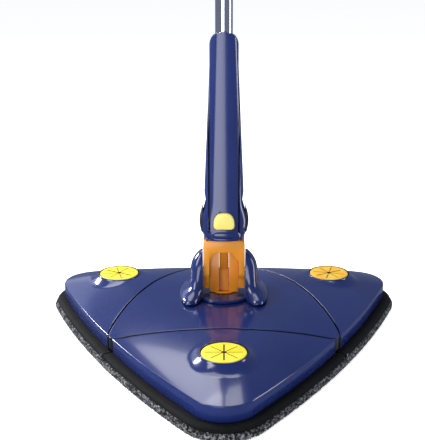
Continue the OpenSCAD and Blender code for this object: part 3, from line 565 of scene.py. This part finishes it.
def flap(name, a):
    v, f = rings([flap_section(s, o) for s, o in zip(*flap_edges(121))])
    o = add(name, v, f, NAVY, sharp=50)
    wall_y = SEAM_GAP / 2 + 0.7
    # painted shade: the seam's wall below the flap's top takes the dark navy
    paint(o, NAVY_PAINTED_SHADE, lambda x, y, z, n: y > -seam(x) - wall_y and z < dome(x, y) - 0.35)
    v, f = rings(boss_rows(), closed_row=False, closed_col=True, caps=False)
    boss = add(name + "_boss", v, f, NAVY, sharp=50)
    # painted shade: the bore's wall inside the boss takes the dark navy
    paint(boss, NAVY_PAINTED_SHADE, lambda x, y, z, n: math.hypot(x, y + CLIP_REACH) < BOSS_BORE_R + 0.05)
    # tube that holds the clip from below, in the navy of painted shade
    tube_wall = ((19.2, 36.6), (19.2, 14), (16.2, 14), (16.2, 36.6))
    v, f = rings(lathe(tube_wall, 96, -CLIP_REACH), closed_col=True, caps=False)
    tube = add(name + "_tube", v, f, NAVY_PAINTED_SHADE)
    body = name.split("_")[0] + "_corner"
    for p in [o, boss, tube] + flap_fittings(name):
        turn(p, a)
        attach(p, body)
    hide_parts(name)


def clip(name, a, mat):
    """Rubber disc with eight slits, two of them wide and deep, and an oval hole in its middle."""
    profile = [(17.8, CLIP_T), (18.3, CLIP_T - 0.12), (18.6, CLIP_T - 0.5), (18.6, 0.2), (18.4, 0.0)]
    v, f = rings(lathe([(r, z + CLIP_Z - CLIP_T) for r, z in profile], 96))
    o = add(name + "_disc", v, f, mat, sharp=30)
    # the cuts give the slits' walls and the hole the painted shade of the slit materials
    for k in range(8):
        deep = k in (2, 6)
        w, depth, r0, r1 = (0.6, CLIP_T - 0.3, 0.0, 14.6) if deep else (0.42, 0.5, 2.9, 15.4)
        poly = [(r0, -w), (r1 - 0.3, -w), (r1, 0), (r1 - 0.3, w), (r0, w)]
        poly = [spin(p, 45 * k) for p in poly]
        cut(o, prism("tool", poly, CLIP_Z - depth, CLIP_Z + 1, SLIT_DEEP_PAINTED_SHADE if deep else SLIT_PAINTED_SHADE))
    hole = [(2.6 * c, 1.9 * s) for c, s in circle(1.0, 24)]
    cut(o, prism("tool", hole, CLIP_Z - CLIP_T + 0.3, CLIP_Z + 1, SLIT_DEEP_PAINTED_SHADE))
    o.data.transform(Matrix.Translation((0, -CLIP_REACH * MM, 0)))
    shade(o, 30)
    turn(o, a)
    body = name.split("_")[0] + "_corner"
    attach(o, body)
    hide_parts(name)


for key, ang in FLAPS.items():
    flap(key + "_flap", ang)
    if key == "right":
        clip(key + "_clip", ang, AMBER)
    else:
        clip(key + "_clip", ang, YELLOW)


# ---------- centre plate ----------
def centre_edge():
    """Outline of the centre plate: three bowed seams that meet in three blunt tips."""
    edge = []
    xs = SEAM_HALF - 4.6
    for a in THIRDS:
        p, q = polar(210, SIDE_MID), polar(300, TIP_HALF)
        third = [(p[0] + q[0], p[1] + q[1])]
        third += [(x, -seam(x) + SEAM_GAP / 2) for x in [-xs + 2 * xs * i / 100 for i in range(101)]]
        p, q = polar(330, SIDE_MID), polar(240, TIP_HALF)
        third.append((p[0] + q[0], p[1] + q[1]))
        edge += [spin(e, a) for e in resample(third, 240)]
    return edge


def centre_section(p):
    """Section of the centre plate's shell, from its bore out to the edge point p and back below."""
    rr = math.hypot(*p)
    ux, uy = p[0] / rr, p[1] / rr
    low = SHELL_Z + 2.6 if rr > TIP_FROM else HINGE_Z + KNUCKLE_R + 3

    def at(r, z):
        return (r * ux, r * uy, z)

    def on_dome(r, drop=0.0):
        return at(r, dome(r * ux, r * uy) - drop)

    start, stop, across = HUB_R + 0.3, rr - SEAM_ROUND, 34
    row = [at(HUB_R, CROWN_Z - WALL), at(HUB_R, CROWN_Z - 0.3)]
    row += [on_dome(start + (stop - start) * (1 - (1 - i / across) ** 1.2)) for i in range(across + 1)]
    ze = on_dome(stop)[2]
    for q in (30, 60, 90):
        s, c = math.sin(math.radians(q)), math.cos(math.radians(q))
        row.append(at(stop + SEAM_ROUND * s, ze - SEAM_ROUND * (1 - c)))
    row += [(p[0], p[1], low), at(rr - WALL, low), on_dome(rr - WALL, WALL), on_dome((HUB_R + rr) / 2, WALL)]
    return row


def centre_plate():
    v, f = rings([centre_section(p) for p in centre_edge()], closed_col=True, caps=False)
    o = add("centre_plate_shell", v, f, NAVY, sharp=50)
    # painted shade: the plate's walls below its top take the dark navy
    paint(o, NAVY_PAINTED_SHADE, lambda x, y, z, n: math.hypot(x, y) > 50 and z < dome(x, y) - 0.35)
    parts = [o]
    # the hub, the lugs and the tips' floors take the navy of painted shade
    hub = ((19.8, CROWN_Z - 2), (19.8, 36), (29.4, 36), (30, 36.6), (30, CROWN_Z - 2))
    v, f = rings(lathe(hub, 96), closed_col=True, caps=False)
    parts.append(add("centre_plate_hub", v, f, NAVY_PAINTED_SHADE))
    for a in THIRDS:
        for s in (-1, 1):
            # a lug on each side of a flap's knuckle
            mid = s * KNUCKLE_X
            for x0 in (mid - KNUCKLE_HALF - 0.5 - LUG_W, mid + KNUCKLE_HALF + 0.5):
                top = dome(x0 + LUG_W / 2, -HINGE) - 1.6
                poly = arc(KNUCKLE_R, 180, 361, 12, -HINGE, HINGE_Z)
                poly += [(-HINGE + KNUCKLE_R, top), (-HINGE - KNUCKLE_R, top)]
                lug_name = f"lug_{a}_{s}_{int(x0)}".replace("-", "m")
                parts.append(turn(bevel(prism(lug_name, poly, x0, x0 + LUG_W, NAVY_PAINTED_SHADE, "X"), 0.3), a))
        foot = box_poly(-4.2, 4.2, -SIDE_MID + 7.4, -97)
        floor = prism(f"tip_floor_{a}", foot, SHELL_Z, SHELL_Z + 2, NAVY_PAINTED_SHADE)
        parts.append(turn(bevel(floor, 0.3), a - 60))
    for p in parts:
        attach(p, "head")
    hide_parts("centre_plate")


centre_plate()


# ---------- pad ----------
def fuzz(x, y, z, amount, scale):
    return noise.noise(Vector((x * scale, y * scale, z * scale))) * amount


def in_corner(x, y, fold, spare):
    """Whether a point lies in the front corner, beyond its fold and between its side lines."""
    return y < -fold and abs(x) < -y * math.sqrt(3) - spare


def outward(p, q):
    """Unit normal to the right of the way from p to q."""
    tx, ty = q[0] - p[0], q[1] - p[1]
    ln = math.hypot(tx, ty) or 1
    return ty / ln, -tx / ln


def pad_flap(name):
    """One corner of the pad: plush edge, chenille underside, black bound top."""
    outline = resample(third_outline(PAD_R, 60, 90), 900)
    keep = [p for p in outline if in_corner(p[0] * 0.995, p[1] * 0.995, PAD_FOLD, 1.0)]
    (lx, ly), (rx, ry) = keep[0], keep[-1]
    outer_n = 330
    loop = resample(keep, outer_n)
    # the loop goes back along the fold
    y_in, half = -PAD_FOLD, PAD_FOLD * math.sqrt(3) - 1.5
    loop += [(rx + (half - rx) * t, ry + (y_in - ry) * t) for t in (0.2, 0.4, 0.6, 0.8, 1.0)]
    loop += [(half - 2 * half * i / 90, y_in) for i in range(1, 91)]
    loop += [(-half + (lx + half) * t, y_in + (ly - y_in) * t) for t in (0.2, 0.4, 0.6, 0.8)]
    n = len(loop)
    normals = [outward(loop[i - 1], loop[(i + 1) % n]) for i in range(n)]
    # the edge's section, as (distance inside the loop, height)
    edge = [(9.0, 0.0), (6.5, 0.05), (4.4, 0.2), (2.6, 0.6), (1.2, 1.2), (0.3, 2.0), (0.0, 3.2), (0.0, 4.4),
            (0.4, 5.7), (1.2, 6.8), (2.4, 7.5), (3.6, 8.6), (4.4, PAD_TOP)]
    rows = []
    for d, z in edge:
        row = []
        for i, (x, y) in enumerate(loop):
            outer = i < outer_n
            w = d if outer else min(d, 1.6) * 0.5
            k = (fuzz(x, y, z, 0.9, 0.55) + fuzz(x, y, z, 0.5, 1.3)) if outer else 0
            nx, ny = normals[i]
            lift = k * 0.3 if 0.5 < z < 10 else 0
            row.append((x - nx * (w - k), y - ny * (w - k), max(0.0, z + lift)))
        rows.append(row)
    v, f = rings(rows, caps=False)
    o = add(name + "_plush", v, f, PLUSH, sharp=80)
    under = sheet_grid(name + "_under", rows[0], 0.0, CHENILLE, 2.2, True)
    top = sheet_grid(name + "_top", rows[-1], PAD_TOP, BINDING, 5.0, False)
    return o, under, top


def sheet_grid(name, loop, z, mat, step, lumpy):
    """A level face filled inside a loop, with a soft chenille relief where it is lumpy."""
    pts = [Vector((p[0], p[1])) for p in loop]
    n = len(pts)
    edges = [(i, (i + 1) % n) for i in range(n)]
    xs = [p.x for p in pts]
    ys = [p.y for p in pts]
    y = min(ys) + step * 0.6
    row = 0
    while y < max(ys) - step * 0.4:
        x = min(xs) + (step * 0.5 if row % 2 else 0)
        crossings = []
        for i in range(n):
            a, b = pts[i], pts[(i + 1) % n]
            if (a.y > y) != (b.y > y):
                crossings.append(a.x + (y - a.y) / (b.y - a.y) * (b.x - a.x))
        crossings.sort()
        if len(crossings) >= 2:
            while x < crossings[-1] - step * 0.5:
                if x > crossings[0] + step * 0.5:
                    pts.append(Vector((x, y)))
                x += step
        y += step * 0.87
        row += 1
    res = delaunay_2d_cdt(pts, edges, [], 1, 1e-5)
    verts = []
    for p in res[0]:
        h = 0.0
        if lumpy:
            d = noise.voronoi(Vector((p.x / 5.5, p.y / 5.5, 0.3)))[0][0]
            h = min(1.3, 2.6 * d * d)
        verts.append((p.x, p.y, z + h))
    return add(name, verts, [tuple(f) for f in res[2]], mat, sharp=80)


def tufts(name, count):
    """Short pile that stands out of the plush edge."""
    path = resample(third_outline(PAD_R, 60, 90), 1200)
    verts, faces = [], []
    for _ in range(count):
        i = random.randrange(1, 1199)
        x, y = path[i]
        if not in_corner(x, y, HINGE - 4, 1):
            continue
        nx, ny = outward(path[i - 1], path[i + 1])
        z = random.uniform(0.7, 7.2)
        up = (z - 3.8) / 3.6
        b = -0.4 - 2.0 * abs(up) ** 2.2
        base = Vector((x + nx * b, y + ny * b, z))
        d = Vector((nx + random.uniform(-.5, .5), ny + random.uniform(-.5, .5),
                    up * 0.8 + random.uniform(-.35, .35))).normalized()
        side = d.cross(Vector((0, 0, 1))).normalized()
        w = random.uniform(0.35, 0.6)
        tip = base + d * random.uniform(0.7, 1.5)
        tip.z = max(tip.z, 0.1)
        back = base - side * w * 0.5
        rise = side.cross(d) * w * 0.8
        k = len(verts)
        verts += [base + side * w, back + rise, back - rise, tip]
        faces += [(k, k + 1, k + 3), (k + 1, k + 2, k + 3), (k + 2, k, k + 3)]
    return add(name, verts, faces, PLUSH, sharp=60)


def binding(name):
    """Black bound edge that shows between the shell and the plush."""
    path = resample(third_outline(PAD_R, 60, 90), 500)
    path = resample([p for p in path if in_corner(*p, PAD_FOLD, 0.1)], 420)
    # section as (distance inside the outline, height); the stitches dimple its top
    stitched = 6.0
    profile = [(12.5, 10.3), (12.5, 11.2), (9.0, 11.6), (stitched, 11.7), (4.2, 11.5), (2.9, 10.9), (2.1, 9.9),
               (1.7, 8.8), (1.8, 7.7), (2.4, 7.1), (3.8, 7.4), (8.0, 9.0)]
    rows = []
    for i, (x, y) in enumerate(path):
        nx, ny = outward(path[max(0, i - 1)], path[min(len(path) - 1, i + 1)])
        stitch = 0.12 * math.sin(i * 2.1)
        rows.append([(x - nx * d, y - ny * d, z + (stitch if d == stitched else 0)) for d, z in profile])
    v, f = rings(rows)
    return add(name, v, f, BINDING, sharp=60)


for key, ang in FLAPS.items():
    pieces = list(pad_flap(key + "_pad"))
    pieces.append(tufts(key + "_pad_pile", 5200))
    pieces.append(binding(key + "_pad_binding"))
    # each corner's pieces are turned to their corner and baked in place
    for p in pieces:
        turn(p, ang)
        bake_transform(p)
    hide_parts(key + "_pad")

# middle of the pad: a triangle inside the three folds
mid_r = HINGE - 5.6
half = mid_r * math.sqrt(3)
loop = []
for a in (270, 30, 150):
    c = polar(a, mid_r)
    t = polar(a + 90, half)
    loop += [(c[0] - t[0] + 2 * t[0] * i / 60, c[1] - t[1] + 2 * t[1] * i / 60) for i in range(60)]


def pulled(p, d):
    """A point moved d towards the middle."""
    r = math.hypot(*p)
    return (p[0] * (1 - d / r), p[1] * (1 - d / r))


rows = [[pulled(p, d) + (z,) for p in loop] for d, z in
        [(3.2, 0.05), (1.4, 0.5), (0.5, 1.8), (0.2, 4.0), (0.1, 7.0), (0.4, 9.4), (1.4, 10.3)]]
v, f = rings(rows, caps=False)
mid_edge = add("centre_pad_edge", v, f, PLUSH, sharp=80)
mid_under = sheet_grid("centre_pad_under", rows[0], 0.05, CHENILLE, 2.2, True)
mid_top = sheet_grid("centre_pad_top", rows[-1], PAD_TOP, BINDING, 5.0, False)
for p in (mid_edge, mid_under, mid_top):
    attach(p, "head")
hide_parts("centre_pad")


# ---------- turret ----------
def turret():
    # a fin's sections from its foot to its top: height, outer face, half depth, sweep in degrees
    levels = [(44.0, 39.6, 29.5, 150), (44.9, 40.3, 29.9, 150), (46.6, 40.2, 29.2, 150),
              (48.0, 39.2, 27.4, 148), (49.6, 37.4, 24.4, 144), (51.6, 35.2, 20.8, 138), (54.0, 33.2, 17.8, 130),
              (57.0, 31.8, 15.8, 122), (61.0, 31.0, 14.4, 114), (66.0, 30.7, 13.2, 108),
              (71.0, 30.4, 12.2, 102), (75.0, 29.6, 11.2, 98), (78.5, 28.2, 10.0, 94), (81.5, 26.4, 8.6, 92),
              (84.0, 24.4, 7.0, 90), (85.8, 22.6, 5.2, 90), (86.8, 21.0, 3.2, 90)]
    parts = []
    inner = 19.5
    for s in (-1, 1):
        rows = []
        for z, xo, d, sweep in levels:
            end = math.cos(math.radians(sweep))
            row = []
            for k in range(41):
                t = math.radians(-sweep + 2 * sweep * k / 40)
                out = max(0.0, (math.cos(t) - end) / (1 - end)) ** 0.85
                deep = d * math.copysign(abs(math.sin(t)) ** 0.9, math.sin(t))
                row.append((s * (inner + (xo - inner) * out), deep, z))
            rows.append(row)
        v, f = rings(rows)
        parts.append(add(f"turret_fin_{SIDE[s]}", v, f, NAVY, sharp=48))
    # round floor with a chamfered rim, and the spigot
    profile = [(14.0, 36.0), (19.6, 36.0), (19.6, CROWN_Z), (24.6, CROWN_Z + 0.45), (25.4, CROWN_Z + 0.9),
               (25.4, 45.4), (24.4, 46.4), (10.5, 46.4)]
    v, f = rings(lathe(profile, 96), caps=False)
    floor = add("turret_floor", v, f, NAVY, sharp=30)
    parts.append(floor)
    for p in parts:
        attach(p, "turret")
    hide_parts("turret")


turret()

for node, mat, slot, body, w in (
        ("oval_grommet", ORANGE, "orange_plastic", "turret", 0.3),
        ("yoke", ORANGE, "orange_plastic", "handle", 0.8),
        ("lower_strap", STRAP, "strap_webbing", "lower_run", 0.3),
        ("upper_strap", STRAP, "strap_webbing", "upper_run", 0.3),
        ("fall_strap", STRAP, "strap_webbing", "sleeve", 0.3),
        ("coupling", NAVY, "navy_plastic", "handle", 0.4),
        ("grip", NAVY, "navy_plastic", "handle", 0.7),
        ("lift_spider", BLACK, "black_plastic", "lift", 0.4),
        ("front_flap_base", BLACK, "black_plastic", "front_corner", 0.3),
        ("left_flap_base", BLACK, "black_plastic", "left_corner", 0.3),
        ("right_flap_base", BLACK, "black_plastic", "right_corner", 0.3)):
    piece = from_node(node + "_finished", node, mat, w)
    if node in ("lower_strap", "upper_strap"):
        # the two runs of the strap meet at the tilt axis
        lower = node == "lower_strap"
        edge_z = (max if lower else min)(v.co.z for v in piece.data.vertices)
        for vert in piece.data.vertices:
            if abs(vert.co.z - edge_z) < 0.0006:
                vert.co.z = (TILT_Z - 0.1 if lower else TILT_Z + 0.1) * MM
    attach(piece, body)
    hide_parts(node)


# ---------- strap guide: two wings with slanted tops beside the strap ----------
for s in (-1, 1):
    side_face = ((4.5, 46.6), (13.1, 46.6), (13.1, 75.5), (11.8, 79.2), (6.0, 86.2), (4.5, 86.2))
    poly = [(s * x, z) for x, z in side_face]
    wing = bevel(prism(f"strap_guide_{SIDE[s]}", poly, -3.4, 3.4, ORANGE, "Y"), 0.5, 3)
    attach(wing, "turret")
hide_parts("strap_guide")
# web of the yoke, recessed in its arch over the guide
half = YOKE_IN / 2 + 0.4
poly = [(-half, 77), (-11.8, 79.0), (-6.2, 86.4), (6.2, 86.4), (11.8, 79.0), (half, 77), (half, 95),
        (-half, 95)]
web = bevel(prism("yoke_web", poly, -7.4, -5.0, ORANGE, "Y"), 0.4)
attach(web, "handle")

# ---------- sleeve ----------
SLEEVE_TOP = SLEEVE_Z + SLEEVE_L
# half width and half depth at the sleeve's two ends, and its half width at its lower mouth
WIDE, NARROW, DEEP, SHALLOW, MOUTH = 19.8, 11.6, 18.0, 12.0, 18.4
# swelling of the sides: height of its middle, half length, half width there
SWELL_Z, SWELL_HALF, SWELL_W = SLEEVE_Z + 22, 19, 21.9
# the sections are rounded boxes, with this exponent
SQUARE = 2.8
# side slots, in the rear cover: radius of their ends, height
SLOT_R, SLOT_H = 10, 49
# joint between the covers: half width of the front one, and of the opening that it fills
FACE_HALF, OPENING_HALF = 12.4, 13.9


def taper(z, low, high):
    return low + (high - low) * (z - SLEEVE_Z) / SLEEVE_L


SWELL_RISE = SWELL_W - taper(SWELL_Z, WIDE, NARROW)


def sleeve_w(z):
    """Half width of the sleeve: a straight mouth that eases into the swelling, then the taper."""
    if z < SLEEVE_Z + 6:
        return MOUTH + 0.05 * max(0, z - SLEEVE_Z)
    near = abs(z - SWELL_Z) < SWELL_HALF
    swell = 0.5 + 0.5 * math.cos(math.pi * (z - SWELL_Z) / SWELL_HALF) if near else 0
    body = taper(z, WIDE, NARROW) + SWELL_RISE * swell
    if z < SLEEVE_Z + 10:
        k = (z - SLEEVE_Z - 6) / 4
        k = k * k * (3 - 2 * k)
        return (MOUTH + 0.3) * (1 - k) + body * k
    return body


def sleeve_d(z):
    return taper(z, DEEP, SHALLOW)


def section(w, d, z, n=120):
    """Level section of half width w and half depth d."""
    pts = []
    for i in range(n):
        a = math.tau * (i + 0.5) / n
        c, s = math.cos(a), math.sin(a)
        k = (abs(c) ** SQUARE + abs(s) ** SQUARE) ** (-1 / SQUARE)
        pts.append((w * k * c, d * k * s, z))
    return pts


def sleeve_solid(name, grow, z0, z1, mat=None, step=2.0):
    """The sleeve's outside, grown or shrunk, between two heights."""
    n = max(2, int((z1 - z0) / step))
    levels = [z0 + (z1 - z0) * i / n for i in range(n + 1)]
    v, f = rings([section(sleeve_w(z) + grow, sleeve_d(z) + grow, z) for z in levels])
    return add(name, v, f, mat or NAVY)


def slot_tools():
    """Tools for the two side slots, open at the bottom and round at the top."""
    poly = [(-SLOT_R, SLEEVE_Z - 5), (SLOT_R, SLEEVE_Z - 5)]
    poly += arc(SLOT_R, 0, 181, 10, 0, SLEEVE_Z + SLOT_H - SLOT_R)
    return [prism("tool", poly, s * 8, s * 34, axis="X") for s in (-1, 1)]


rear = sleeve_solid("rear_cover_shell", 0, SLEEVE_Z, SLEEVE_TOP)
cut(rear, sleeve_solid("tool", -2.2, SLEEVE_Z - 1, SLEEVE_TOP + 1))
opening = box_poly(-OPENING_HALF, OPENING_HALF, -40, -4)
cut(rear, prism("tool", opening, SLEEVE_Z - 5, SLEEVE_TOP + 5))
shear = [(4, SLEEVE_Z - 4), (4, SLEEVE_Z), (-30, SLEEVE_Z + 11), (-30, SLEEVE_Z - 4)]
cut(rear, prism("tool", shear, -40, 40, axis="X"))
for tool in slot_tools():
    cut(rear, tool)
bevel(rear, 0.45, 2, 40)
# painted shade: the swelling's sides, in shade beyond the front cover, take the dark navy
paint(rear, NAVY_PAINTED_SHADE, lambda x, y, z, n: abs(x) > 18.9 and 106 < z < 132)

FRONT_Z = SLEEVE_Z + 6
FRONT_TOP = SLEEVE_TOP + 8
front = sleeve_solid("front_cover_shell", 1.4, FRONT_Z, FRONT_TOP)
cut(front, sleeve_solid("tool", -2.2, FRONT_Z - 1, FRONT_TOP + 1))
face = [(-FACE_HALF, FRONT_Z - 4), (FACE_HALF, FRONT_Z - 4)]
for t in range(0, 91, 6):
    across = FACE_HALF * math.cos(math.radians(t)) ** 0.7 if t < 90 else 0
    face.append((across, FRONT_TOP - 11 + 11 * math.sin(math.radians(t))))
face += [(-x, z) for x, z in reversed(face[2:-1])]
cut(front, prism("tool", face, -40, -4.2, axis="Y"), "INTERSECT")


def d_shape(grow):
    """The button's outline about its centre: flat below, round above."""
    w, h = 9.2 + grow, 7.6 + grow
    pts = [(-w + 2.4, -h), (w - 2.4, -h), (w - 0.7, -h + 1.0)]
    for t in range(0, 181, 6):
        c, s = math.cos(math.radians(t)), math.sin(math.radians(t))
        pts.append((w * math.copysign(abs(c) ** 0.72, c), -h + 3.6 + (2 * h - 3.6) * s ** 0.86))
    return pts + [(-w + 0.7, -h + 1.0)]


button_hole = [(x, z + BUTTON_Z) for x, z in d_shape(0.4)]
cut(front, prism("tool", button_hole, -30, 5, axis="Y"))
bevel(front, 0.6, 3, 40)
# painted shade: the front cover's side faces, in the groove between the covers, take the dark navy
paint(front, NAVY_PAINTED_SHADE, lambda x, y, z, n: abs(x) > FACE_HALF - 0.1 and abs(n.x) > 0.9)

# painted shade: a dark sheet behind the joint between the covers, where shade falls
joint_shade_sheet = sleeve_solid("sleeve_joint_painted_shade", -0.9, SLEEVE_Z + 23, SLEEVE_TOP - 1, NAVY_PAINTED_SHADE)
cut(joint_shade_sheet, sleeve_solid("tool", -1.9, SLEEVE_Z, SLEEVE_TOP + 1))
cut(joint_shade_sheet, prism("tool", box_poly(-40, 40, -8, 40), SLEEVE_Z - 5, SLEEVE_TOP + 5))
cut(joint_shade_sheet, prism("tool", button_hole, -30, 5, axis="Y"))

# painted shade: a black insert in each side slot, where the swelling's sides lie in shade
slot_shade_inserts = []
for s in (-1, 1):
    rows = []
    for i in range(25):
        z = SLEEVE_Z + 11.5 + 25.5 * i / 24
        ys = [-9.7 + 19.4 * j / 20 for j in range(21)]
        row = []
        for y in ys:
            surface = sleeve_w(z) * (1 - (abs(y) / sleeve_d(z)) ** SQUARE) ** (1 / SQUARE)
            row.append((s * max(19.3, surface + 0.25), y, z))
        rows.append(row + [(s * 19.1, y, z) for y in reversed(ys)])
    v, f = rings(rows)
    slot_shade_inserts.append(add(f"side_slot_shade_{SIDE[s]}", v, f, BLACK, sharp=40))

# rounded lip at the sleeve's lower end, which rises towards the front
lip_rows = []
for z, g in ((95.2, -1.4), (95.4, -0.2), (96.4, 0.7), (98.4, 1.1), (100.6, 1.1), (102.4, 0.6), (103.5, -0.3),
             (103.7, -1.2), (103.7, -2.6), (95.2, -2.6)):
    lip_rows.append([(x, y, h + 0.33 * max(0.0, 2 - y)) for x, y, h in section(17.3 + g, 18.6 + g, z)])
v, f = rings(lip_rows, closed_col=True, caps=False)
lip = add("front_cover_lip", v, f, NAVY, sharp=50)

# button with a crowned face
face_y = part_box("button")[0][1] / MM
btn_rows = []
for g, out in ((0.0, 6), (0.0, 0.9), (-0.2, 0.35), (-0.7, 0.05), (-1.6, -0.1), (-3.2, -0.25), (-5.2, -0.35)):
    btn_rows.append([(x, face_y + out, z + BUTTON_Z) for x, z in d_shape(g)])
v, f = rings(btn_rows)
btn = add("button_cap", v, f, BUTTON, sharp=50)
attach(btn, "button")
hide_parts("button")
for p in (joint_shade_sheet, lip, *slot_shade_inserts):
    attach(p, "sleeve")
for p, node in ((rear, "rear_cover"), (front, "front_cover")):
    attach(p, "sleeve")
    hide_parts(node)

# ---------- carried-over CAD pieces get their finish ----------
slots = {s["node"]: s["material_slot"] for s in frame["record"]["subparts"]}
for name, o in nodes.items():
    mat = HOOKS if name.endswith("hooks") else FINISH.get(slots.get(name), BLACK)
    for entry in o.material_slots:
        entry.material = mat
